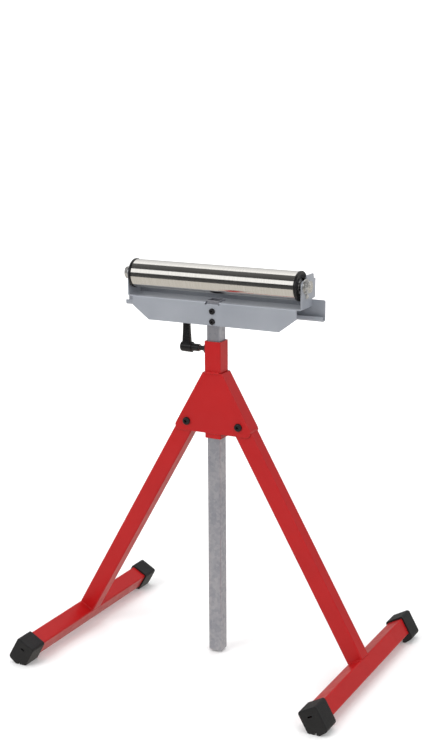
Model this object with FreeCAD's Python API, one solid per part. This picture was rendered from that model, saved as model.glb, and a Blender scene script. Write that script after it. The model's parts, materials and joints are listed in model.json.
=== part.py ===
import FreeCAD, Part
import math
import os

# Foldable roller stand: a square mast slides in a sleeve that stands on two
# folding legs, and carries a free-turning roller in a sheet-metal head.
# X runs along the roller, Y is depth (front is -Y), Z is up.
# The origin is on the floor, under the middle of the mast.  Millimetres.

Vector = FreeCAD.Vector
Rotation = FreeCAD.Rotation
Placement = FreeCAD.Placement

# ---- driving dimensions -------------------------------------------------
RUNNING_GAP = 0.05        # radial gap of a turning fit
BODY_GAP = 0.4            # gap between bodies that move past each other

# legs and feet
LEG_TILT = 29.6           # degrees from the vertical, spread
LEG_WIDTH = 30.0          # across the leg, in the plane of the two legs
LEG_DEPTH = 28.0          # front to back
LEG_DROP = 437.8          # pivot to the top face of the foot bar
LEG_WALL = 1.8
PIVOT_X = 49.0
STOP_GAP = 0.15           # between the spread leg and the web it leans on
BAR_SIZE = 30.0
BAR_WALL = 1.8
BAR_LENGTH = 414.0
TUBE_CORNER = 2.6
CAP_WALL = 3.0
CAP_TOP = 3.5
CAP_LENGTH = 36.0
CAP_END = 3.5
SOLE_DEPTH = 43.7         # top of the bar to the lowest ridge of the cap
SOLE_OUTER_RISE = 2.7
NOTCH_INNER = -9.5        # notch in the sole, measured outwards from the ridge
NOTCH_OUTER = -4.5
NOTCH_DEPTH = 5.0
CAP_EDGE = 4.5            # roundings of a foot cap
CAP_TIP_EDGE = 2.4
CAP_SLOT_HALF = 4.2       # slot in the end wall of a cap, under the bar's top face
CAP_SLOT_TOP = -8.2
CAP_SLOT_BOTTOM = -11.2
CAP_SLOT_EDGE = 1.4
SOCKET_GAP = 0.1          # between a cap and the bar inside it

# sleeve and hub
SLEEVE_SIZE = 30.0
SLEEVE_WALL = 2.0
SLEEVE_BOTTOM = 393.0
SLEEVE_TOP = 559.6
HUB_TOP = 506.5
HUB_BOTTOM = 402.0
HUB_SHEET = 1.5
HUB_CORNER = 9.0
HUB_BEND = 2.2
HUB_BLANK = 120.0         # half height of the folded blank before it is trimmed
REAR_PLATE_INSET = 1.0

# pivot bolts
BOLT_R = 4.0
BOLT_HEAD_R = 6.8
BOLT_HEAD_T = 4.4
BOLT_SOCKET_AF = 5.0
PIVOT_NUT_AF = 13.0
PIVOT_NUT_T = 8.0
PIVOT_WASHER_R = 8.0
PIVOT_WASHER_T = 1.6

# mast
MAST_SIZE = 24.0
MAST_WALL = 1.5
MAST_BOTTOM = 4.0         # above the floor, head fully lowered
MAST_TOP = 628.5

# head bracket: web, front plate and two ears folded from one sheet
SHEET = 2.0
WEB_TOP = 626.5
WEB_REAR = 27.0
PLATE_FRONT = -14.0
PLATE_HALF = 152.0
PLATE_BOTTOM = 586.6
PLATE_CHAMFER_X = 30.7
PLATE_CHAMFER_Z = 22.9
EAR_OUTER = 161.0
EAR_REAR = 40.0
EAR_STEP_Z = 639.0
EAR_SHOULDER_Z = 672.0
EAR_TAB_Z = 679.0
EAR_TAB_FRONT = 5.0
EAR_TAB_REAR = 34.0
HEAD_BEND = 3.0
NOTCH_RELIEF_R = 1.5
SCREW_HEIGHTS = (610.6, 593.3)
SCREW_R = 3.0
SCREW_HEAD_R = 5.2
SCREW_HEAD_T = 3.4
SCREW_SOCKET_AF = 4.0
WELD_NUT_AF = 10.0
WELD_NUT_T = 5.0

# rear rail
RAIL_HALF = 184.0
RAIL_BOTTOM = 603.0
RAIL_TOP = 637.0
RAIL_LIP_FRONT = 17.0
RAIL_LIP_TOP = 611.0

# roller and axle
AXLE_Z = 662.0
AXLE_R = 6.0
AXLE_HALF = 171.0
ROLLER_R = 23.5
ROLLER_WALL = 2.0
ROLLER_HALF = 150.0
CAP_RIM_R = 24.6
CAP_RIM_T = 4.5
CAP_PLUG_DEPTH = 16.0
BEARING_R = 14.0
BEARING_WIDTH = 8.0
BEARING_SPLIT_R = 9.2
AXLE_NUT_AF = 19.0
AXLE_NUT_T = 7.0
AXLE_WASHER_R = 12.0
AXLE_WASHER_T = 2.0
SPACER_R = 8.0
EAR_SCREW_Y = 4.0
EAR_SCREW_Z = 645.0
EAR_SCREW_R = 2.0
EAR_SCREW_HEAD_R = 4.0
EAR_SCREW_HEAD_T = 3.0

# clamp lever
CLAMP_Z = 543.8
CLAMP_NUT_AF = 13.0
CLAMP_NUT_T = 6.5
STUD_R = 4.0
STUD_TIP = -(MAST_SIZE / 2 + BODY_GAP)
STUD_END = -38.0
HUB_OUTER = -66.0
HUB_INNER = -31.0
HUB_STEP = -44.5
HUB_R = 9.0
HUB_NECK_R = 6.3
INSERT_AF = 10.0
INSERT_R = 4.9
COLLAR_END = -34.2
INSERT_END = -46.0
SHOULDER_END = -49.0
CHAMBER_R = 6.0
LEVER_X = -55.5
LEVER_REACH = 56.0
SPRING_R = 4.0
SPRING_WIRE_R = 0.5
SPRING_TURNS = 5
HANDLE_SCREW_R = 2.4
HANDLE_SCREW_HEAD_R = 4.6
HANDLE_SCREW_HEAD_T = 3.0
HANDLE_SCREW_HEAD_X = -59.4

# ---- values that follow from the driving dimensions ----------------------
TILT = math.radians(LEG_TILT)
PIVOT_Z = (LEG_DROP + SOLE_DEPTH) * math.cos(TILT)
HUB_WEB_INNER = LEG_WIDTH / 2 + STOP_GAP
HUB_WEB_OUTER = HUB_WEB_INNER + HUB_SHEET
HUB_FACE = SLEEVE_SIZE / 2 + HUB_SHEET
PLATE_BACK = PLATE_FRONT + SHEET
WEB_UNDER = WEB_TOP - SHEET


# ---- small geometry helpers ----------------------------------------------
def polygon(points):
    """Face in the XY plane with the given corners."""
    corners = [Vector(x, y, 0) for x, y in points]
    return Part.Face(Part.makePolygon(corners + corners[:1]))


def rounded_polygon(corners):
    """Face in the XY plane; each corner is (x, y, radius)."""
    count = len(corners)
    edges = []
    ends = []
    for i, (x, y, radius) in enumerate(corners):
        here = Vector(x, y, 0)
        before = Vector(*corners[i - 1][:2], 0) - here
        after = Vector(*corners[(i + 1) % count][:2], 0) - here
        if radius <= 0:
            ends.append((here, here))
            continue
        before.normalize()
        after.normalize()
        half = before.getAngle(after) / 2
        cut = radius / math.tan(half)
        start = here + before * cut
        end = here + after * cut
        bisector = before + after
        bisector.normalize()
        middle = here + bisector * (radius / math.sin(half) - radius)
        edges.append(Part.Arc(start, middle, end).toShape())
        ends.append((start, end))
    for i in range(count):
        start = ends[i][1]
        end = ends[(i + 1) % count][0]
        if start.distanceToPoint(end) > 1e-6:
            edges.append(Part.LineSegment(start, end).toShape())
    return Part.Face(Part.Wire(Part.__sortEdges__(edges)))


def rectangle(width, depth, radius):
    """Rounded rectangle centred on the origin of the XY plane."""
    x = width / 2
    y = depth / 2
    return rounded_polygon([(-x, -y, radius), (x, -y, radius), (x, y, radius), (-x, y, radius)])


def tube(width, depth, wall, z_low, z_high):
    """Upright rectangular tube centred on the Z axis."""
    outer = rectangle(width, depth, TUBE_CORNER)
    inner = rectangle(width - 2 * wall, depth - 2 * wall, max(TUBE_CORNER - wall, 0.6))
    height = Vector(0, 0, z_high - z_low)
    shell = outer.extrude(height).cut(inner.extrude(height))
    shell.translate(Vector(0, 0, z_low))
    return shell


def prism_xz(face, y_low, y_high):
    """Extrude a face drawn as (x, z) along Y."""
    solid = face.extrude(Vector(0, 0, y_low - y_high))
    solid.rotate(Vector(0, 0, 0), Vector(1, 0, 0), 90)
    solid.translate(Vector(0, y_low, 0))
    return solid


def prism_yz(face, x_low, x_high):
    """Extrude a face drawn as (y, z) along X."""
    solid = face.extrude(Vector(0, 0, x_high - x_low))
    solid.Placement = Placement(Vector(x_low, 0, 0), Rotation(0.5, 0.5, 0.5, 0.5))
    return solid


def box(x_low, x_high, y_low, y_high, z_low, z_high):
    size = (x_high - x_low, y_high - y_low, z_high - z_low)
    return Part.makeBox(*size, Vector(x_low, y_low, z_low))


def rod_x(radius, x_low, x_high, y=0.0, z=0.0):
    return Part.makeCylinder(radius, x_high - x_low, Vector(x_low, y, z), Vector(1, 0, 0))


def rod_y(radius, y_low, y_high, x=0.0, z=0.0):
    return Part.makeCylinder(radius, y_high - y_low, Vector(x, y_low, z), Vector(0, 1, 0))


def hexagon(across_flats):
    corner = across_flats / math.sqrt(3)
    turns = [math.radians(60 * i) for i in range(6)]
    return polygon([(corner * math.cos(a), corner * math.sin(a)) for a in turns])


def hex_x(across_flats, x_low, x_high, y=0.0, z=0.0):
    solid = prism_yz(hexagon(across_flats), x_low, x_high)
    solid.translate(Vector(0, y, z))
    return solid


def hex_y(across_flats, y_low, y_high, x=0.0, z=0.0):
    solid = prism_xz(hexagon(across_flats), y_low, y_high)
    solid.translate(Vector(x, 0, z))
    return solid


def nut_chamfer(nut, radius, low, high, axis, centre):
    """Round off a nut's corners with a cone at each end."""
    length = high - low
    bevel = radius * 0.09
    points = [
        Vector(0, 0, 0),
        Vector(radius - bevel * 1.4, 0, 0),
        Vector(radius, 0, bevel),
        Vector(radius, 0, length - bevel),
        Vector(radius - bevel * 1.4, 0, length),
        Vector(0, 0, length),
    ]
    body = Part.Face(Part.makePolygon(points + points[:1]))
    body = body.revolve(Vector(0, 0, 0), Vector(0, 0, 1), 360)
    start = centre + axis * low
    body.Placement = Placement(start, Rotation(Vector(0, 0, 1), axis))
    return nut.common(body)


def mirror_x(shape):
    return shape.mirror(Vector(0, 0, 0), Vector(1, 0, 0))


def group(shapes):
    return Part.makeCompound(shapes)


def on_leg(shape):
    """Place a shape drawn about the pivot, leg upright, on the right leg."""
    spread = Placement(Vector(PIVOT_X, 0, PIVOT_Z), Rotation(Vector(0, 1, 0), -LEG_TILT))
    shape.Placement = spread.multiply(shape.Placement)
    return shape


# ---- legs and feet ---------------------------------------------------------
def leg():
    """Tube with its top end rounded about the pivot, so that it can fold."""
    half = LEG_WIDTH / 2
    body = tube(LEG_WIDTH, LEG_DEPTH, LEG_WALL, -LEG_DROP, half)
    square_top = box(-half, half, -LEG_DEPTH, LEG_DEPTH, 0, half)
    round_top = rod_y(half, -LEG_DEPTH, LEG_DEPTH)
    body = body.cut(square_top.cut(round_top))
    body = body.cut(rod_y(BOLT_R + RUNNING_GAP, -LEG_DEPTH, LEG_DEPTH))
    return on_leg(body)


def foot_bar():
    bar = tube(BAR_SIZE, BAR_SIZE, BAR_WALL, -BAR_LENGTH / 2, BAR_LENGTH / 2)
    bar.rotate(Vector(0, 0, 0), Vector(1, 0, 0), 90)
    bar.translate(Vector(0, 0, -LEG_DROP - BAR_SIZE / 2))
    return on_leg(bar)


def cap_section():
    """Outline of a foot cap, (x, z) about the middle of the bar's top face.

    The facet on the inner side (-x) lies flat on the floor."""
    side = BAR_SIZE / 2 + CAP_WALL
    inner_z = -(SOLE_DEPTH - side * math.tan(TILT))
    outer_z = -(SOLE_DEPTH - SOLE_OUTER_RISE)
    return rounded_polygon([
        (-side, CAP_TOP, CAP_EDGE),
        (-side, inner_z, CAP_EDGE / 2),
        (0.0, -SOLE_DEPTH, CAP_EDGE / 3),
        (side, outer_z, CAP_EDGE * 1.5),
        (side, CAP_TOP, CAP_EDGE),
    ])


def foot_cap(end):
    """Moulded cap on the front (end = -1) or rear (end = 1) of a foot bar."""
    tip = BAR_LENGTH / 2 + CAP_END
    cap = prism_xz(cap_section(), tip - CAP_LENGTH, tip)
    tip_edges = [e for e in cap.Edges if e.BoundBox.YMin > tip - 0.01]
    cap = cap.makeFillet(CAP_TIP_EDGE, tip_edges)
    socket = BAR_SIZE / 2 + SOCKET_GAP
    hollow = box(-socket, socket, 0, BAR_LENGTH / 2, -BAR_SIZE - SOCKET_GAP, SOCKET_GAP)
    cap = cap.cut(hollow)
    slot = rounded_polygon([
        (-CAP_SLOT_HALF, CAP_SLOT_BOTTOM, CAP_SLOT_EDGE),
        (CAP_SLOT_HALF, CAP_SLOT_BOTTOM, CAP_SLOT_EDGE),
        (CAP_SLOT_HALF, CAP_SLOT_TOP, CAP_SLOT_EDGE),
        (-CAP_SLOT_HALF, CAP_SLOT_TOP, CAP_SLOT_EDGE),
    ])
    cap = cap.cut(prism_xz(slot, tip - 2 * CAP_END, tip + 1))
    notch = box(NOTCH_INNER, NOTCH_OUTER, 0, tip + 1, -NOTCH_DEPTH, NOTCH_DEPTH)
    notch.rotate(Vector(0, 0, 0), Vector(0, 1, 0), LEG_TILT)
    notch.translate(Vector(0, 0, -SOLE_DEPTH))
    cap = cap.cut(notch)
    if end < 0:
        cap = cap.mirror(Vector(0, 0, 0), Vector(0, 1, 0))
    cap.translate(Vector(0, 0, -LEG_DROP))
    return on_leg(cap)


# ---- sleeve, hub and pivots ----------------------------------------------
def sleeve():
    body = tube(SLEEVE_SIZE, SLEEVE_SIZE, SLEEVE_WALL, SLEEVE_BOTTOM, SLEEVE_TOP)
    return body.cut(rod_x(STUD_R + 0.5, -SLEEVE_SIZE, 0, 0, CLAMP_Z))


def hub_outline(edge, corner):
    """Front view of the hub, (x, z); edge is the offset from a leg's centre line."""
    slope = math.tan(TILT)
    pivot_edge = PIVOT_X + edge / math.cos(TILT)
    low = pivot_edge - (HUB_BOTTOM - PIVOT_Z) * slope
    high = pivot_edge - (HUB_TOP - PIVOT_Z) * slope
    return rounded_polygon([
        (-low, HUB_BOTTOM, corner),
        (low, HUB_BOTTOM, corner),
        (high, HUB_TOP, 0),
        (-high, HUB_TOP, 0),
    ])


def pivot_holes(body):
    for x in (-PIVOT_X, PIVOT_X):
        body = body.cut(rod_y(BOLT_R + RUNNING_GAP, -SLEEVE_SIZE, SLEEVE_SIZE, x, PIVOT_Z))
    return body


def hub_front_plate():
    """Plate on the sleeve's front face; its folded-back webs are the stops
    that the spread legs lean on."""
    reach = -HUB_BLANK
    rear = SLEEVE_SIZE / 2
    angle_section = rounded_polygon([
        (reach, -HUB_FACE, 0),
        (HUB_WEB_OUTER, -HUB_FACE, HUB_BEND),
        (HUB_WEB_OUTER, rear, 0),
        (HUB_WEB_INNER, rear, 0),
        (HUB_WEB_INNER, HUB_SHEET - HUB_FACE, HUB_BEND - HUB_SHEET),
        (reach, HUB_SHEET - HUB_FACE, 0),
    ])
    right = angle_section.extrude(Vector(0, 0, 2 * HUB_BLANK))
    right.translate(Vector(0, 0, -HUB_BLANK))
    right = on_leg(right)
    right_half = box(0, 2 * HUB_TOP, -SLEEVE_SIZE, SLEEVE_SIZE, 0, 2 * HUB_TOP)
    right = right.common(right_half)
    outline = prism_xz(hub_outline(HUB_WEB_OUTER, HUB_CORNER), -SLEEVE_SIZE, SLEEVE_SIZE)
    body = right.fuse(mirror_x(right)).common(outline)
    return pivot_holes(body).removeSplitter()


def hub_rear_plate():
    """Flat plate on the sleeve's rear face and the webs' rear edges."""
    outline = hub_outline(HUB_WEB_OUTER - REAR_PLATE_INSET, HUB_CORNER)
    return pivot_holes(prism_xz(outline, SLEEVE_SIZE / 2, HUB_FACE))


def button_screw(radius, head_r, head_t, socket_af, shank, x, z, front):
    """Socket screw along +Y; its domed head sits in front of y = front."""
    dome = [
        Vector(0, front, 0),
        Vector(head_r, front, 0),
        Vector(head_r, front - head_t * 0.3, 0),
    ]
    crown = Vector(head_r * 0.62, front - head_t, 0)
    side = Part.Arc(dome[2], Vector(head_r * 0.9, front - head_t * 0.75, 0), crown).toShape()
    edges = [
        Part.LineSegment(dome[0], dome[1]).toShape(),
        Part.LineSegment(dome[1], dome[2]).toShape(),
        side,
        Part.LineSegment(crown, Vector(0, front - head_t, 0)).toShape(),
        Part.LineSegment(Vector(0, front - head_t, 0), dome[0]).toShape(),
    ]
    head = Part.Face(Part.Wire(edges)).revolve(Vector(0, 0, 0), Vector(0, 1, 0), 360)
    head = head.cut(hex_y(socket_af, front - head_t - 1, front - head_t * 0.35))
    body = head.fuse(rod_y(radius, front, front + shank))
    body.translate(Vector(x, 0, z))
    return body.removeSplitter()


def pivot_bolts():
    shank = 2 * HUB_FACE + PIVOT_WASHER_T + PIVOT_NUT_T + 1.5
    sizes = (BOLT_R, BOLT_HEAD_R, BOLT_HEAD_T, BOLT_SOCKET_AF, shank)
    return group([button_screw(*sizes, side * PIVOT_X, PIVOT_Z, -HUB_FACE) for side in (-1, 1)])


def pivot_washers():
    washers = []
    for x in (-PIVOT_X, PIVOT_X):
        low = HUB_FACE
        high = low + PIVOT_WASHER_T
        ring = rod_y(PIVOT_WASHER_R, low, high, x, PIVOT_Z)
        washers.append(ring.cut(rod_y(BOLT_R + 0.1, low, high, x, PIVOT_Z)))
    return group(washers)


def pivot_nuts():
    nuts = []
    low = HUB_FACE + PIVOT_WASHER_T
    high = low + PIVOT_NUT_T
    for x in (-PIVOT_X, PIVOT_X):
        nut = hex_y(PIVOT_NUT_AF, low, high, x, PIVOT_Z)
        corner = PIVOT_NUT_AF / math.sqrt(3)
        nut = nut_chamfer(nut, corner, low, high, Vector(0, 1, 0), Vector(x, 0, PIVOT_Z))
        nuts.append(nut.cut(rod_y(BOLT_R + 0.02, low, high, x, PIVOT_Z)))
    return group(nuts)


# ---- clamp lever -------------------------------------------------------------
def clamp_nut():
    """Hexagon nut welded to the sleeve's left face."""
    high = -SLEEVE_SIZE / 2
    low = high - CLAMP_NUT_T
    centre = Vector(0, 0, CLAMP_Z)
    nut = hex_x(CLAMP_NUT_AF, low, high, 0, CLAMP_Z)
    nut = nut_chamfer(nut, CLAMP_NUT_AF / math.sqrt(3), low, high, Vector(1, 0, 0), centre)
    return nut.cut(rod_x(STUD_R + RUNNING_GAP, low, high, 0, CLAMP_Z))


def clamp_stud():
    body = rod_x(STUD_R, STUD_END, STUD_TIP, 0, CLAMP_Z)
    tip_edge = [e for e in body.Edges if e.BoundBox.XMin > STUD_TIP - 0.01]
    return body.makeChamfer(0.8, tip_edge)


def lever_insert():
    """Steel insert fixed on the stud: a six-sided collar that drives the handle
    and a round part that the handle slides along to let go of the collar."""
    body = hex_x(INSERT_AF, COLLAR_END, HUB_INNER, 0, CLAMP_Z)
    body = body.fuse(rod_x(INSERT_R, INSERT_END, COLLAR_END, 0, CLAMP_Z))
    body = body.cut(rod_x(STUD_R + 0.02, STUD_END, HUB_INNER, 0, CLAMP_Z))
    body = body.cut(rod_x(HANDLE_SCREW_R + 0.02, INSERT_END, STUD_END, 0, CLAMP_Z))
    return body.removeSplitter()


def handle_screw():
    shank_end = STUD_END - 0.5
    head_low = HANDLE_SCREW_HEAD_X - HANDLE_SCREW_HEAD_T
    shank = rod_x(HANDLE_SCREW_R, HANDLE_SCREW_HEAD_X, shank_end, 0, CLAMP_Z)
    head = rod_x(HANDLE_SCREW_HEAD_R, head_low, HANDLE_SCREW_HEAD_X, 0, CLAMP_Z)
    socket = hex_x(3.0, head_low - 1, head_low + 1.8, 0, CLAMP_Z)
    return shank.fuse(head).cut(socket).removeSplitter()


def handle_spring():
    """Coil that pulls the handle back onto its insert."""
    length = abs(HANDLE_SCREW_HEAD_X - SHOULDER_END) - 4 * SPRING_WIRE_R
    helix = Part.makeHelix(length / SPRING_TURNS, length, SPRING_R)
    profile = Part.Wire(Part.makeCircle(SPRING_WIRE_R, Vector(SPRING_R, 0, 0), Vector(0, 1, 0)))
    coil = Part.Wire(helix).makePipeShell([profile], True, True)
    start = Vector(HANDLE_SCREW_HEAD_X + 2 * SPRING_WIRE_R, 0, CLAMP_Z)
    coil.Placement = Placement(start, Rotation(Vector(0, 0, 1), Vector(1, 0, 0)))
    return coil


def clamp_handle():
    """Moulded lever: a stepped hub on the stud and a tapered arm above it."""
    outline = rounded_polygon([
        (HUB_OUTER, 0, 0),
        (HUB_OUTER, HUB_R - 0.4, 3.0),
        (HUB_STEP, HUB_R, 1.2),
        (HUB_STEP, HUB_NECK_R, 1.0),
        (HUB_INNER, HUB_NECK_R, 1.0),
        (HUB_INNER, 0, 0),
    ])
    hub = outline.revolve(Vector(0, 0, 0), Vector(1, 0, 0), 360)
    stations = (  # height, width, depth
        (4.0, 15.6, 13.0),
        (24.0, 13.2, 11.0),
        (LEVER_REACH - 2.5, 11.0, 9.2),
        (LEVER_REACH, 7.6, 6.4),
    )
    wires = []
    for height, width, depth in stations:
        wire = rectangle(width, depth, depth * 0.35).OuterWire
        wire.translate(Vector(LEVER_X, 0, height))
        wires.append(wire)
    lower_arm = Part.makeLoft(wires[:3], True, True)
    tip = Part.makeLoft(wires[2:], True, True)
    body = hub.fuse([lower_arm, tip])
    gap = 0.3
    body.translate(Vector(0, 0, CLAMP_Z))
    body = body.cut(hex_x(INSERT_AF + 2 * gap, COLLAR_END - gap, 0, 0, CLAMP_Z))
    body = body.cut(rod_x(INSERT_R + gap, INSERT_END - gap, 0, 0, CLAMP_Z))
    body = body.cut(rod_x(HANDLE_SCREW_R + gap, SHOULDER_END - 1, INSERT_END, 0, CLAMP_Z))
    return body.cut(rod_x(CHAMBER_R, HUB_OUTER - 1, SHOULDER_END, 0, CLAMP_Z)).removeSplitter()


# ---- mast and head -------------------------------------------------------------
def mast():
    body = tube(MAST_SIZE, MAST_SIZE, MAST_WALL, MAST_BOTTOM, MAST_TOP)
    for z in SCREW_HEIGHTS:
        body = body.cut(rod_y(SCREW_R + 0.2, -MAST_SIZE, 0, 0, z))
    return body


def ear_outline():
    """Side view of an ear, (y, z)."""
    low = WEB_UNDER - 1
    return rounded_polygon([
        (PLATE_FRONT, low, 0),
        (PLATE_FRONT, EAR_SHOULDER_Z - 2, 8.0),
        (EAR_TAB_FRONT, EAR_SHOULDER_Z + 1.5, 1.5),
        (EAR_TAB_FRONT + 2, EAR_TAB_Z, 2.5),
        (EAR_TAB_REAR - 2, EAR_TAB_Z, 2.5),
        (EAR_TAB_REAR, EAR_SHOULDER_Z - 1.5, 1.5),
        (EAR_REAR, EAR_SHOULDER_Z - 1.5, 2.0),
        (EAR_REAR - 1, EAR_STEP_Z, 2.0),
        (WEB_REAR, EAR_STEP_Z - 1, 2.0),
        (WEB_REAR, low, 0),
    ])


def head_bracket():
    ear_inner = EAR_OUTER - SHEET
    inner_bend = HEAD_BEND - SHEET
    outer = rounded_polygon([
        (-EAR_OUTER, EAR_TAB_Z, 0),
        (-EAR_OUTER, WEB_UNDER, HEAD_BEND),
        (EAR_OUTER, WEB_UNDER, HEAD_BEND),
        (EAR_OUTER, EAR_TAB_Z, 0),
    ])
    inner = rounded_polygon([
        (-ear_inner, EAR_TAB_Z, 0),
        (-ear_inner, WEB_TOP, inner_bend),
        (ear_inner, WEB_TOP, inner_bend),
        (ear_inner, EAR_TAB_Z, 0),
    ])
    body = prism_xz(outer.cut(inner), PLATE_FRONT, EAR_REAR)
    body = body.common(prism_yz(ear_outline(), -EAR_OUTER, EAR_OUTER))

    bend_y = PLATE_FRONT + HEAD_BEND
    body = body.cut(box(-PLATE_HALF, PLATE_HALF, PLATE_FRONT, bend_y, WEB_UNDER, WEB_TOP))
    corner = rounded_polygon([
        (bend_y, WEB_TOP, 0),
        (PLATE_FRONT, WEB_TOP, HEAD_BEND - 0.01),
        (PLATE_FRONT, PLATE_BOTTOM, 0),
        (PLATE_BACK, PLATE_BOTTOM, 0),
        (PLATE_BACK, WEB_UNDER, inner_bend - 0.01),
        (bend_y, WEB_UNDER, 0),
    ])
    plate = prism_yz(corner, -PLATE_HALF, PLATE_HALF)
    for side in (-1, 1):
        cut_x = side * (PLATE_HALF - PLATE_CHAMFER_X)
        wedge = polygon([
            (cut_x, PLATE_BOTTOM),
            (side * PLATE_HALF, PLATE_BOTTOM + PLATE_CHAMFER_Z),
            (side * (PLATE_HALF + 1), PLATE_BOTTOM - 1),
            (cut_x, PLATE_BOTTOM - 1),
        ])
        plate = plate.cut(prism_xz(wedge, PLATE_FRONT - 1, PLATE_BACK + 1))
    body = body.fuse(plate)

    opening = MAST_SIZE / 2 + 0.4
    slot_z = WEB_UNDER - 2.0
    body = body.cut(box(-opening, opening, PLATE_FRONT - 1, opening, slot_z, WEB_TOP + 1))
    for x in (-opening, opening):
        body = body.cut(rod_y(NOTCH_RELIEF_R, PLATE_FRONT - 1, PLATE_BACK + 1, x, slot_z))
    for z in SCREW_HEIGHTS:
        body = body.cut(rod_y(SCREW_R + 0.2, PLATE_FRONT - 1, PLATE_BACK + 1, 0, z))
    for x in (-EAR_OUTER - 1, ear_inner - 1):
        body = body.cut(rod_x(AXLE_R + 0.1, x, x + SHEET + 2, 0, AXLE_Z))
        body = body.cut(rod_x(EAR_SCREW_R + 0.02, x, x + SHEET + 2, EAR_SCREW_Y, EAR_SCREW_Z))
    return body.removeSplitter()


def rear_rail():
    """J-shaped rail welded to the rear edge of the web, open towards the front."""
    face = WEB_REAR
    back = WEB_REAR + SHEET
    bend = 3.5
    section = rounded_polygon([
        (face, RAIL_TOP, 0),
        (back, RAIL_TOP, 0),
        (back, RAIL_BOTTOM, bend),
        (RAIL_LIP_FRONT, RAIL_BOTTOM, bend),
        (RAIL_LIP_FRONT, RAIL_LIP_TOP, 0),
        (RAIL_LIP_FRONT + SHEET, RAIL_LIP_TOP, 0),
        (RAIL_LIP_FRONT + SHEET, RAIL_BOTTOM + SHEET, bend - SHEET),
        (face, RAIL_BOTTOM + SHEET, bend - SHEET),
    ])
    rail = prism_yz(section, -RAIL_HALF, RAIL_HALF)
    top_corners = [
        e for e in rail.Edges
        if e.BoundBox.ZMin > RAIL_TOP - 0.01 and e.BoundBox.XLength < 0.01
    ]
    return rail.makeFillet(2.5, top_corners)


def head_screws():
    sizes = (SCREW_R, SCREW_HEAD_R, SCREW_HEAD_T, SCREW_SOCKET_AF, 11.0)
    return group([button_screw(*sizes, 0, z, PLATE_FRONT) for z in SCREW_HEIGHTS])


def mast_weld_nuts():
    """Hexagon nuts welded inside the mast's front wall."""
    low = -(MAST_SIZE / 2 - MAST_WALL)
    high = low + WELD_NUT_T
    nuts = []
    for z in SCREW_HEIGHTS:
        nut = hex_y(WELD_NUT_AF, low, high, 0, z)
        nuts.append(nut.cut(rod_y(SCREW_R + 0.02, low, high, 0, z)))
    return group(nuts)


def ear_screws():
    screws = []
    for side in (-1, 1):
        outer = side * EAR_OUTER
        inner = side * (EAR_OUTER - SHEET)
        head_end = outer + side * EAR_SCREW_HEAD_T
        tail_end = inner - side * 1.2
        head = rod_x(EAR_SCREW_HEAD_R, min(outer, head_end), max(outer, head_end))
        rim = [
            e for e in head.Edges
            if abs(e.BoundBox.XMin - head_end) < 0.01 and e.BoundBox.XLength < 0.01
        ]
        head = head.makeFillet(1.8, rim)
        shank = rod_x(EAR_SCREW_R, min(tail_end, outer), max(tail_end, outer))
        body = head.fuse(shank).removeSplitter()
        body.translate(Vector(0, EAR_SCREW_Y, EAR_SCREW_Z))
        screws.append(body)
    return group(screws)


# ---- roller and axle -------------------------------------------------------------
def axle():
    body = rod_x(AXLE_R, -AXLE_HALF, AXLE_HALF, 0, AXLE_Z)
    ends = [e for e in body.Edges if e.BoundBox.XLength < 0.01]
    return body.makeChamfer(1.0, ends)


def axle_washers():
    washers = []
    for low in (-EAR_OUTER - AXLE_WASHER_T, EAR_OUTER):
        high = low + AXLE_WASHER_T
        ring = rod_x(AXLE_WASHER_R, low, high, 0, AXLE_Z)
        washers.append(ring.cut(rod_x(AXLE_R + 0.1, low, high, 0, AXLE_Z)))
    return group(washers)


def axle_nuts():
    nuts = []
    inner = EAR_OUTER + AXLE_WASHER_T
    for low in (-inner - AXLE_NUT_T, inner):
        high = low + AXLE_NUT_T
        nut = hex_x(AXLE_NUT_AF, low, high, 0, AXLE_Z)
        corner = AXLE_NUT_AF / math.sqrt(3)
        nut = nut_chamfer(nut, corner, low, high, Vector(1, 0, 0), Vector(0, 0, AXLE_Z))
        nuts.append(nut.cut(rod_x(AXLE_R + 0.02, low, high, 0, AXLE_Z)))
    return group(nuts)


def bearing_span():
    """Inner and outer face of the right-hand bearing along X."""
    outer = ROLLER_HALF + CAP_RIM_T - 2.5
    return outer - BEARING_WIDTH, outer


def axle_spacers():
    """Sleeves that hold the bearings' inner rings off the ears."""
    _, bearing_outer = bearing_span()
    spacers = []
    for side in (-1, 1):
        ends = sorted((side * bearing_outer, side * (EAR_OUTER - SHEET)))
        ring = rod_x(SPACER_R, *ends, 0, AXLE_Z)
        spacers.append(ring.cut(rod_x(AXLE_R + 0.05, *ends, 0, AXLE_Z)))
    return group(spacers)


def bearing_inner_rings():
    rings = []
    for side in (-1, 1):
        ends = sorted(side * x for x in bearing_span())
        ring = rod_x(BEARING_SPLIT_R - 0.1, *ends, 0, AXLE_Z)
        rings.append(ring.cut(rod_x(AXLE_R + 0.02, *ends, 0, AXLE_Z)))
    return group(rings)


def bearing_outer_ring(side):
    """Outer ring with its seals, which turns with the roller."""
    ends = sorted(side * x for x in bearing_span())
    ring = rod_x(BEARING_R, *ends, 0, AXLE_Z)
    return ring.cut(rod_x(BEARING_SPLIT_R, *ends, 0, AXLE_Z))


def roller_tube():
    body = rod_x(ROLLER_R, -ROLLER_HALF, ROLLER_HALF, 0, AXLE_Z)
    edges = [e for e in body.Edges if e.BoundBox.XLength < 0.01]
    body = body.makeFillet(0.8, edges)
    return body.cut(rod_x(ROLLER_R - ROLLER_WALL, -ROLLER_HALF, ROLLER_HALF, 0, AXLE_Z))


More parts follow.
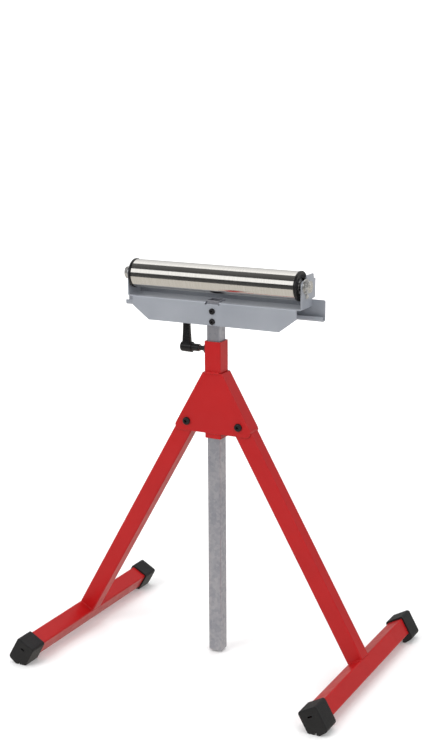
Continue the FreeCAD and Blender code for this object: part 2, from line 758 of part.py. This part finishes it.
def roller_cap(side):
    """Moulded end cap: a rim outside the tube and a plug that holds the bearing."""
    rim_end = ROLLER_HALF + CAP_RIM_T
    plug_end = ROLLER_HALF - CAP_PLUG_DEPTH
    rim = rod_x(CAP_RIM_R, ROLLER_HALF, rim_end)
    edges = [e for e in rim.Edges if e.BoundBox.XLength < 0.01]
    rim = rim.makeFillet(1.2, edges)
    plug = rod_x(ROLLER_R - ROLLER_WALL - 0.05, plug_end, ROLLER_HALF)
    body = rim.fuse(plug)
    inner_face, outer_face = bearing_span()
    body = body.cut(rod_x(BEARING_R + 0.02, inner_face, rim_end + 1))
    body = body.cut(rod_x(BEARING_SPLIT_R + 1.5, plug_end - 1, inner_face))
    body = body.removeSplitter()
    if side < 0:
        body = mirror_x(body)
    body.translate(Vector(0, 0, AXLE_Z))
    return body


# ---- write every piece -------------------------------------------------------------
def all_parts():
    right = {
        "leg": leg(),
        "foot_bar": foot_bar(),
        "foot_cap_front": foot_cap(-1),
        "foot_cap_rear": foot_cap(1),
    }
    parts = {f"{name}_right": shape for name, shape in right.items()}
    parts.update({f"{name}_left": mirror_x(shape) for name, shape in right.items()})
    parts.update({
        "sleeve": sleeve(),
        "hub_front_plate": hub_front_plate(),
        "hub_rear_plate": hub_rear_plate(),
        "pivot_bolts": pivot_bolts(),
        "pivot_washers": pivot_washers(),
        "pivot_nuts": pivot_nuts(),
        "clamp_nut": clamp_nut(),
        "clamp_stud": clamp_stud(),
        "lever_insert": lever_insert(),
        "handle_screw": handle_screw(),
        "handle_spring": handle_spring(),
        "clamp_handle": clamp_handle(),
        "mast": mast(),
        "head_bracket": head_bracket(),
        "rear_rail": rear_rail(),
        "head_screws": head_screws(),
        "mast_weld_nuts": mast_weld_nuts(),
        "ear_screws": ear_screws(),
        "axle": axle(),
        "axle_washers": axle_washers(),
        "axle_nuts": axle_nuts(),
        "axle_spacers": axle_spacers(),
        "bearing_inner_rings": bearing_inner_rings(),
        "bearing_outer_ring_left": bearing_outer_ring(-1),
        "bearing_outer_ring_right": bearing_outer_ring(1),
        "roller_tube": roller_tube(),
        "roller_cap_left": roller_cap(-1),
        "roller_cap_right": roller_cap(1),
    })
    return parts


os.makedirs("parts", exist_ok=True)
for name, shape in all_parts().items():
    shape.exportStep(f"parts/{name}.step")
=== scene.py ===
import json
import math

import bmesh
import bpy
from mathutils import Matrix, Vector


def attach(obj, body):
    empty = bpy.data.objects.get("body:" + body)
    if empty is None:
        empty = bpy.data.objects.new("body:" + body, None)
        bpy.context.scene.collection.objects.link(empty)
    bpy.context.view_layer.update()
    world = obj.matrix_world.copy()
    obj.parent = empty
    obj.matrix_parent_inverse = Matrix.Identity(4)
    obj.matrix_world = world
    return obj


# Looks for the foldable roller stand.  Metres, in the CAD model's own frame:
# X along the roller, -Y to the front, Z up, origin on the floor.

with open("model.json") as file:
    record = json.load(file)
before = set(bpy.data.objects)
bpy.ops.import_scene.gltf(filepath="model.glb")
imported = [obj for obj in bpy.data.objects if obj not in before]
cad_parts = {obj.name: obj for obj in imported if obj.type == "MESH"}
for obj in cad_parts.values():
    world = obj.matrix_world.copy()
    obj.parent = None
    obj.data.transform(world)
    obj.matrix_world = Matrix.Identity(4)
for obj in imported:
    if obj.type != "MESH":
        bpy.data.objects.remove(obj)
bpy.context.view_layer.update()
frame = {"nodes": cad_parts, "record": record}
nodes = frame["nodes"]
MM = 0.001


# ---- node materials -------------------------------------------------------
class Finish:
    """A material's node tree, with short calls for the nodes used here."""

    def __init__(self, name, **shader_values):
        self.material = bpy.data.materials.new(name)
        self.material.use_nodes = True
        self.tree = self.material.node_tree
        self.tree.nodes.clear()
        self.output = self.add("ShaderNodeOutputMaterial")
        self.shader = self.add("ShaderNodeBsdfPrincipled")
        self.link(self.shader.outputs[0], self.output.inputs[0])
        for socket, value in shader_values.items():
            self.shader.inputs[socket.replace("_", " ")].default_value = value
        self.place = self.add("ShaderNodeTexCoord").outputs["Object"]

    def add(self, kind, **settings):
        node = self.tree.nodes.new(kind)
        for key, value in settings.items():
            setattr(node, key, value)
        return node

    def link(self, source, target):
        self.tree.links.new(source, target)

    def set(self, socket, source):
        self.link(source, self.shader.inputs[socket])

    def stretched(self, x, y, z):
        """The object's coordinates, scaled per axis."""
        node = self.add("ShaderNodeMapping")
        node.inputs["Scale"].default_value = (x, y, z)
        self.link(self.place, node.inputs["Vector"])
        return node.outputs["Vector"]

    def noise(self, scale, detail=3.0, roughness=0.5, where=None):
        node = self.add("ShaderNodeTexNoise")
        node.inputs["Scale"].default_value = scale
        node.inputs["Detail"].default_value = detail
        node.inputs["Roughness"].default_value = roughness
        self.link(where or self.place, node.inputs["Vector"])
        return node.outputs["Fac"]

    def cells(self, scale, where=None):
        """Random grey per cell, for zinc spangle."""
        node = self.add("ShaderNodeTexVoronoi")
        node.inputs["Scale"].default_value = scale
        self.link(where or self.place, node.inputs["Vector"])
        grey = self.add("ShaderNodeSeparateColor")
        self.link(node.outputs["Color"], grey.inputs[0])
        return grey.outputs[0]

    def span(self, source, low, high, out_low=0.0, out_high=1.0):
        """Map a value's range low..high on to out_low..out_high."""
        node = self.add("ShaderNodeMapRange")
        sockets = ("From Min", "From Max", "To Min", "To Max")
        for socket, value in zip(sockets, (low, high, out_low, out_high)):
            node.inputs[socket].default_value = value
        self.link(source, node.inputs["Value"])
        return node.outputs["Result"]

    def maths(self, operation, a, b):
        node = self.add("ShaderNodeMath", operation=operation)
        for socket, value in zip(node.inputs, (a, b)):
            if isinstance(value, (int, float)):
                socket.default_value = value
            else:
                self.link(value, socket)
        return node.outputs[0]

    def blend(self, factor, first, second):
        """Mix two colours; each is a tuple or a node's output."""
        node = self.add("ShaderNodeMix", data_type="RGBA")
        self.link(factor, node.inputs["Factor"])
        for socket, value in ((node.inputs[6], first), (node.inputs[7], second)):
            if isinstance(value, tuple):
                socket.default_value = (*value, 1.0)
            else:
                self.link(value, socket)
        return node.outputs[2]

    def edges(self, radius, low=0.03, high=0.30):
        """1 along convex and concave edges, 0 on flat faces."""
        bevel = self.add("ShaderNodeBevel", samples=6)
        bevel.inputs["Radius"].default_value = radius
        geometry = self.add("ShaderNodeNewGeometry")
        dot = self.add("ShaderNodeVectorMath", operation="DOT_PRODUCT")
        self.link(bevel.outputs[0], dot.inputs[0])
        self.link(geometry.outputs["Normal"], dot.inputs[1])
        return self.span(dot.outputs["Value"], 1.0 - low, 1.0 - high)

    def bump(self, height, distance, strength=1.0, edge_radius=0.0):
        """Fine relief, over edges rounded by edge_radius."""
        node = self.add("ShaderNodeBump")
        node.inputs["Strength"].default_value = strength
        node.inputs["Distance"].default_value = distance
        self.link(height, node.inputs["Height"])
        if edge_radius > 0:
            bevel = self.add("ShaderNodeBevel", samples=6)
            bevel.inputs["Radius"].default_value = edge_radius
            self.link(bevel.outputs[0], node.inputs["Normal"])
        self.set("Normal", node.outputs["Normal"])


def powder_coat(name, colour, deep, highlight_colour, roughness, metallic=0.0):
    """Sprayed and baked paint: orange peel, faint clouding, and a painted highlight along the edges."""
    f = Finish(name, Metallic=metallic, Specular_IOR_Level=0.30)
    clouds = f.span(f.noise(14.0, 4.0), 0.3, 0.7)
    grain = f.span(f.noise(1500.0, 2.0), 0.3, 0.7)
    base = f.blend(clouds, colour, deep)
    # painted highlight: edges and bends turn toward the pale edge colour, broken up by noise
    edge_highlight = f.maths("MULTIPLY", f.edges(0.9 * MM), f.span(f.noise(260.0), 0.42, 0.62, 0.35, 0.75))
    f.set("Base Color", f.blend(edge_highlight, base, highlight_colour))
    f.set("Roughness", f.span(f.noise(60.0, 5.0), 0.3, 0.7, roughness - 0.05, roughness + 0.07))
    peel = f.maths("ADD", f.noise(520.0, 2.0), f.maths("MULTIPLY", grain, 0.25))
    f.bump(peel, 0.03 * MM, 0.35, 0.5 * MM)
    return f.material


def galvanised_steel():
    """Hot-dip zinc: dull spangle, grey bloom and lengthwise draw marks."""
    f = Finish("galvanised_steel", Metallic=0.82)
    warp = f.add("ShaderNodeVectorMath", operation="ADD")
    wobble = f.add("ShaderNodeTexNoise")
    wobble.inputs["Scale"].default_value = 160.0
    shift = f.add("ShaderNodeVectorMath", operation="SCALE")
    shift.inputs["Scale"].default_value = 5.0 * MM
    f.link(f.place, wobble.inputs["Vector"])
    f.link(wobble.outputs["Color"], shift.inputs[0])
    f.link(f.place, warp.inputs[0])
    f.link(shift.outputs[0], warp.inputs[1])
    spangle = f.cells(210.0, warp.outputs[0])
    bloom = f.noise(26.0, 6.0, 0.6)
    mottled = f.maths("ADD", f.maths("MULTIPLY", spangle, 0.45), f.maths("MULTIPLY", bloom, 0.9))
    tone = f.span(mottled, 0.3, 1.0)
    base = f.blend(tone, (0.36, 0.37, 0.43), (0.50, 0.50, 0.54))
    draw = f.noise(90.0, 4.0, 0.6, f.stretched(9.0, 9.0, 0.12))
    scratched = f.span(draw, 0.62, 0.74, 0.0, 0.35)
    f.set("Base Color", f.blend(scratched, base, (0.62, 0.62, 0.63)))
    f.set("Roughness", f.span(mottled, 0.3, 1.0, 0.50, 0.30))
    f.bump(f.maths("ADD", spangle, draw), 0.02 * MM, 0.5, 0.6 * MM)
    return f.material


def polished_steel():
    """Ground and polished tube: faint marks run round it, a few scuffs along it."""
    f = Finish("polished_steel", Metallic=1.0)
    turning = f.noise(1.0, 5.0, 0.7, f.stretched(900.0, 12.0, 12.0))
    cloud = f.noise(18.0, 4.0)
    scuffs = f.span(f.noise(60.0, 3.0, 0.6, f.stretched(0.6, 7.0, 7.0)), 0.63, 0.72)
    base = f.blend(f.span(turning, 0.25, 0.75), (0.66, 0.64, 0.60), (0.80, 0.78, 0.75))
    f.set("Base Color", f.blend(f.maths("MULTIPLY", scuffs, 0.3), base, (0.50, 0.49, 0.47)))
    f.set("Roughness", f.maths("ADD", f.span(cloud, 0.3, 0.7, 0.07, 0.13), f.maths("MULTIPLY", scuffs, 0.10)))
    f.bump(turning, 0.01 * MM, 0.25, 0.4 * MM)
    return f.material


def plated_steel(name, light, dark, roughness):
    """Bright zinc plate on fasteners: slightly cloudy, lighter and darker in patches."""
    f = Finish(name, Metallic=0.95)
    cloud = f.span(f.noise(240.0, 5.0, 0.6), 0.3, 0.7)
    f.set("Base Color", f.blend(cloud, dark, light))
    f.set("Roughness", f.span(f.noise(700.0, 3.0), 0.3, 0.7, roughness - 0.06, roughness + 0.10))
    f.bump(f.noise(900.0, 3.0), 0.02 * MM, 0.4, 0.25 * MM)
    return f.material


def black_oxide():
    f = Finish("black_oxide", Metallic=0.55)
    cloud = f.span(f.noise(300.0, 4.0), 0.3, 0.7)
    base = f.blend(cloud, (0.012, 0.012, 0.014), (0.035, 0.033, 0.034))
    f.set("Base Color", f.blend(f.edges(0.4 * MM), base, (0.11, 0.11, 0.11)))
    f.set("Roughness", f.span(cloud, 0.0, 1.0, 0.28, 0.42))
    f.bump(f.noise(1400.0, 2.0), 0.02 * MM, 0.4, 0.25 * MM)
    return f.material


def moulded_black(name, tone, roughness, grain_scale, grain_depth):
    """Moulded plastic or rubber: fine spark-eroded grain, dusty in patches."""
    f = Finish(name, Specular_IOR_Level=0.35)
    dust = f.span(f.noise(38.0, 6.0, 0.65), 0.48, 0.72)
    base = f.blend(dust, (tone, tone, tone * 1.06), (tone * 1.5, tone * 1.5, tone * 1.5))
    f.set("Base Color", f.blend(f.edges(0.7 * MM), base, (tone * 3.2, tone * 3.2, tone * 3.2)))
    f.set("Roughness", f.span(f.noise(420.0, 3.0), 0.3, 0.7, roughness - 0.06, roughness + 0.08))
    f.bump(f.noise(grain_scale, 3.0, 0.6), grain_depth, 0.7, 0.5 * MM)
    return f.material


# the last colour given to each coat is its painted edge highlight
RED = powder_coat("red_powder_coat", (0.41, 0.007, 0.008), (0.38, 0.006, 0.007), (0.58, 0.10, 0.07), 0.34)
GREY = powder_coat(
    "silver_powder_coat", (0.40, 0.42, 0.46), (0.35, 0.37, 0.41), (0.60, 0.61, 0.63), 0.34, 0.35
)
GALVANISED = galvanised_steel()
POLISHED = polished_steel()
ZINC = plated_steel("zinc_plate", (0.72, 0.71, 0.69), (0.52, 0.52, 0.51), 0.27)
BEARING = plated_steel("ground_steel", (0.62, 0.62, 0.62), (0.48, 0.48, 0.49), 0.20)
BLACK_STEEL = black_oxide()
RUBBER = moulded_black("black_rubber", 0.010, 0.55, 900.0, 0.06 * MM)
PLASTIC = moulded_black("black_plastic", 0.008, 0.28, 1300.0, 0.04 * MM)

SLOT_FINISH = {
    "red_paint": RED,
    "silver_paint": GREY,
    "galvanised": GALVANISED,
    "polished_steel": POLISHED,
    "zinc": ZINC,
    "bearing_steel": BEARING,
    "black_steel": BLACK_STEEL,
    "black_rubber": RUBBER,
    "black_plastic": PLASTIC,
}

for part in frame["record"]["subparts"]:
    mesh = nodes[part["node"]].data
    mesh.materials.clear()
    mesh.materials.append(SLOT_FINISH[part["material_slot"]])


# ---- mesh helpers -----------------------------------------------------------
def finish_piece(name, mesh, body, slot):
    """Turn a mesh into a named piece that rides on a CAD body."""
    piece = bpy.data.objects.new(name, mesh)
    bpy.context.collection.objects.link(piece)
    mesh.materials.append(SLOT_FINISH[slot])
    for face in mesh.polygons:
        face.use_smooth = True
    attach(piece, body)
    return piece


def mesh_from(bm, name):
    bmesh.ops.recalc_face_normals(bm, faces=bm.faces)
    mesh = bpy.data.meshes.new(name)
    bm.to_mesh(mesh)
    bm.free()
    return mesh


def ring_along(bm, centre, across, up, radius, sides, squash=1.0):
    """One ring of a tube that runs square to across and up."""
    ring = []
    for i in range(sides):
        turn = 2 * math.pi * i / sides
        offset = across * (radius * math.cos(turn)) + up * (radius * squash * math.sin(turn))
        ring.append(bm.verts.new(centre + offset))
    return ring


def skin(bm, rings):
    """Faces between successive rings, and over both ends."""
    for low, high in zip(rings, rings[1:]):
        count = len(low)
        for i in range(count):
            j = (i + 1) % count
            bm.faces.new((low[i], low[j], high[j], high[i]))
    bm.faces.new(list(reversed(rings[0])))
    bm.faces.new(rings[-1])


def weld_bead(bm, start, end, outward, radius, pitch=1.6 * MM):
    """Rippled bead from start to end; outward points out of the corner."""
    start = Vector(start)
    end = Vector(end)
    along = (end - start).normalized()
    out = Vector(outward)
    out = (out - along * out.dot(along)).normalized()
    side = along.cross(out)
    length = (end - start).length
    steps = max(8, int(length / (0.4 * MM)))
    rings = []
    for i in range(steps + 1):
        s = length * i / steps
        ripple = 0.12 * abs(math.sin(math.pi * s / pitch))
        wander = 0.08 * math.sin(2.1 * s / pitch + 1.3) + 0.05 * math.sin(0.9 * s / pitch)
        taper = min(1.0, math.sin(math.pi * min(1.0, 0.15 + s / (3 * MM)) / 2))
        taper = min(taper, math.sin(math.pi * min(1.0, 0.15 + (length - s) / (3 * MM)) / 2))
        size = radius * taper * (0.92 + ripple + wander)
        rings.append(ring_along(bm, start + along * s, side, out, size, 10, 0.75))
    skin(bm, rings)


# ---- weld beads -----------------------------------------------------------------
LEG_TILT = math.radians(29.6)
PIVOT = Vector((49.0, 0.0, 418.66))
LEG_FOOT = -437.8
LEG_HALF_WIDTH = 15.0
LEG_HALF_DEPTH = 14.0
SLEEVE_HALF = 15.0
HUB_TOP = 506.5
HUB_BOTTOM = 402.0


def from_leg(side, across, depth, along):
    """A point on a leg (side 1 right, -1 left), in metres."""
    x = PIVOT.x + across * math.cos(LEG_TILT) - along * math.sin(LEG_TILT)
    z = PIVOT.z + across * math.sin(LEG_TILT) + along * math.cos(LEG_TILT)
    return Vector((side * x, depth, z)) * MM


def hub_beads():
    """Beads between the sleeve and the edges of the hub's two plates."""
    bm = bmesh.new()
    half = (SLEEVE_HALF - 1.5) * MM
    for facing in (-1, 1):
        y = facing * (SLEEVE_HALF + 0.4) * MM
        high = (HUB_TOP + 0.6) * MM
        low = HUB_BOTTOM * MM
        weld_bead(bm, (-half, y, high), (half, y, high), (0, facing, 1), 2.8 * MM, 3.2 * MM)
        weld_bead(bm, (-half, y, low), (half, y, low), (0, facing, -1), 1.3 * MM)
    finish_piece("hub_weld_beads", mesh_from(bm, "hub_weld_beads"), "frame", "red_paint")


def leg_beads(side, body):
    """Beads across the front and rear of a leg's lower end, on the top of its bar."""
    bm = bmesh.new()
    wide = LEG_HALF_WIDTH - 2.0
    deep = LEG_HALF_DEPTH
    for facing in (-1, 1):
        start = from_leg(side, -wide, facing * deep, LEG_FOOT)
        end = from_leg(side, wide, facing * deep, LEG_FOOT)
        weld_bead(bm, start, end, (0, facing, 1), 1.7 * MM)
    name = f"{body}_weld_beads"
    finish_piece(name, mesh_from(bm, name), body, "red_paint")


hub_beads()
leg_beads(1, "right_leg")
leg_beads(-1, "left_leg")


# ---- camera -------------------------------------------------------------------
CAMERA_PLACE = Vector((1.0362, -1.9735, 1.0371))
CAMERA_YAW = math.radians(27.374)
CAMERA_PITCH = math.radians(-15.418)
CAMERA_ROLL = math.radians(-0.247)


def place_camera():
    data = bpy.data.cameras.new("camera")
    data.sensor_width = 36.0
    data.lens = 65.62
    data.shift_x = -0.0143
    data.shift_y = 0.0595
    data.clip_end = 100.0
    camera = bpy.data.objects.new("camera", data)
    bpy.context.collection.objects.link(camera)
    turn = Matrix.Rotation(CAMERA_YAW, 4, "Z")
    turn = turn @ Matrix.Rotation(math.radians(90.0) + CAMERA_PITCH, 4, "X")
    turn = turn @ Matrix.Rotation(CAMERA_ROLL, 4, "Z")
    camera.matrix_world = Matrix.Translation(CAMERA_PLACE) @ turn
    bpy.context.scene.camera = camera


place_camera()


# ---- studio ---------------------------------------------------------------------
FLOOR_DROP = 0.2 * MM     # keeps the floor off the soles
FLOOR_HALF = 14.0
FADE_START = 0.5          # the camera sees the floor run out to white from here
FADE_END = 3.0
SKY_LIGHT = 0.75          # strength of the sky as light, as background and in reflections
SKY_SEEN = 1.1
SKY_MIRRORED = 0.32


def floor():
    """Pale seamless floor; the camera sees it fade to white, reflections see it beige."""
    bm = bmesh.new()
    step = 2.0
    count = int(2 * FLOOR_HALF / step)
    places = [i * step - FLOOR_HALF for i in range(count + 1)]
    grid = [[bm.verts.new((x, y, -FLOOR_DROP)) for x in places] for y in places]
    for y in range(count):
        for x in range(count):
            bm.faces.new((grid[y][x], grid[y][x + 1], grid[y + 1][x + 1], grid[y + 1][x]))
    piece = bpy.data.objects.new("floor", mesh_from(bm, "floor"))
    bpy.context.collection.objects.link(piece)
    f = Finish("pale_floor", Roughness=0.62)
    f.set("Base Color", f.blend(f.noise(3.0), (0.88, 0.88, 0.88), (0.90, 0.90, 0.90)))
    rays = f.add("ShaderNodeLightPath")
    reach = f.add("ShaderNodeVectorMath", operation="LENGTH")
    f.link(f.place, reach.inputs[0])
    fade = f.span(reach.outputs["Value"], FADE_START, FADE_END, 0.10, 0.60)
    white = f.add("ShaderNodeEmission")
    f.link(f.maths("MULTIPLY", fade, rays.outputs["Is Camera Ray"]), white.inputs["Strength"])
    lifted = f.add("ShaderNodeAddShader")
    f.link(f.shader.outputs[0], lifted.inputs[0])
    f.link(white.outputs[0], lifted.inputs[1])
    beige = f.add("ShaderNodeEmission")
    beige.inputs["Color"].default_value = (0.70, 0.67, 0.62, 1.0)
    pick = f.add("ShaderNodeMixShader")
    f.link(rays.outputs["Is Glossy Ray"], pick.inputs[0])
    f.link(lifted.outputs[0], pick.inputs[1])
    f.link(beige.outputs[0], pick.inputs[2])
    f.link(pick.outputs[0], f.output.inputs[0])
    piece.data.materials.append(f.material)


def reflector(name, start, end, tones, half_length=4.0, radius=1.7):
    """Curved card round the roller's axis, seen only in glossy reflections.

    start and end are degrees up from the front horizon; tones run from start to end."""
    bm = bmesh.new()
    steps = 24
    edge_rows = []
    layer = bm.loops.layers.float_color.new("tone")
    for i in range(steps + 1):
        turn = math.radians(start + (end - start) * i / steps)
        y = -radius * math.cos(turn)
        z = 0.66 + radius * math.sin(turn)
        edge_rows.append((bm.verts.new((-half_length, y, z)), bm.verts.new((half_length, y, z)), i / steps))
    for (a, b, low), (c, d, high) in zip(edge_rows, edge_rows[1:]):
        face = bm.faces.new((a, b, d, c))
        for loop, share in zip(face.loops, (low, low, high, high)):
            tone = tones[0] + (tones[1] - tones[0]) * share
            loop[layer] = (tone, tone, tone, 1.0)
    piece = bpy.data.objects.new(name, mesh_from(bm, name))
    bpy.context.collection.objects.link(piece)
    piece.visible_camera = False
    piece.visible_diffuse = False
    piece.visible_shadow = False
    piece.visible_transmission = False
    material = bpy.data.materials.new(name)
    material.use_nodes = True
    tree = material.node_tree
    tree.nodes.clear()
    tone = tree.nodes.new("ShaderNodeVertexColor")
    tone.layer_name = "tone"
    glow = tree.nodes.new("ShaderNodeEmission")
    output = tree.nodes.new("ShaderNodeOutputMaterial")
    tree.links.new(tone.outputs["Color"], glow.inputs["Color"])
    tree.links.new(glow.outputs[0], output.inputs[0])
    piece.data.materials.append(material)


def softbox(name, place, aim, size, power):
    light = bpy.data.lights.new(name, "AREA")
    light.shape = "RECTANGLE"
    light.size, light.size_y = size
    light.energy = power
    piece = bpy.data.objects.new(name, light)
    bpy.context.collection.objects.link(piece)
    piece.location = place
    piece.rotation_euler = (Vector(aim) - Vector(place)).to_track_quat("-Z", "Y").to_euler()
    piece.visible_glossy = False


def studio():
    world = bpy.data.worlds.new("studio")
    world.use_nodes = True
    sky = world.node_tree.nodes["Background"]
    sky.inputs["Color"].default_value = (1.0, 1.0, 1.0, 1.0)
    rays = world.node_tree.nodes.new("ShaderNodeLightPath")
    seen = world.node_tree.nodes.new("ShaderNodeMapRange")
    seen.inputs["To Min"].default_value = SKY_LIGHT
    seen.inputs["To Max"].default_value = SKY_SEEN
    mirrored = world.node_tree.nodes.new("ShaderNodeMix")
    mirrored.inputs[3].default_value = SKY_MIRRORED
    world.node_tree.links.new(rays.outputs["Is Camera Ray"], seen.inputs["Value"])
    world.node_tree.links.new(rays.outputs["Is Glossy Ray"], mirrored.inputs[0])
    world.node_tree.links.new(seen.outputs["Result"], mirrored.inputs[2])
    world.node_tree.links.new(mirrored.outputs[0], sky.inputs["Strength"])
    bpy.context.scene.world = world
    bpy.context.scene.view_settings.view_transform = "Standard"
    aim = (0.0, 0.0, 0.35)
    softbox("key_light", (-1.4, -2.6, 2.4), aim, (2.0, 2.0), 55.0)
    softbox("fill_light", (2.8, -1.2, 1.8), aim, (2.0, 2.0), 26.0)
    softbox("top_light", (0.0, 0.6, 3.2), aim, (2.6, 2.6), 34.0)
    reflector("front_dark_card", -34.0, 11.0, (0.10, 0.05))
    reflector("front_strip", 12.0, 43.0, (1.2, 1.2))
    reflector("ceiling_card", 44.0, 92.0, (0.07, 0.15))
    reflector("rear_strip", 93.0, 169.0, (1.3, 0.6))


floor()
studio()
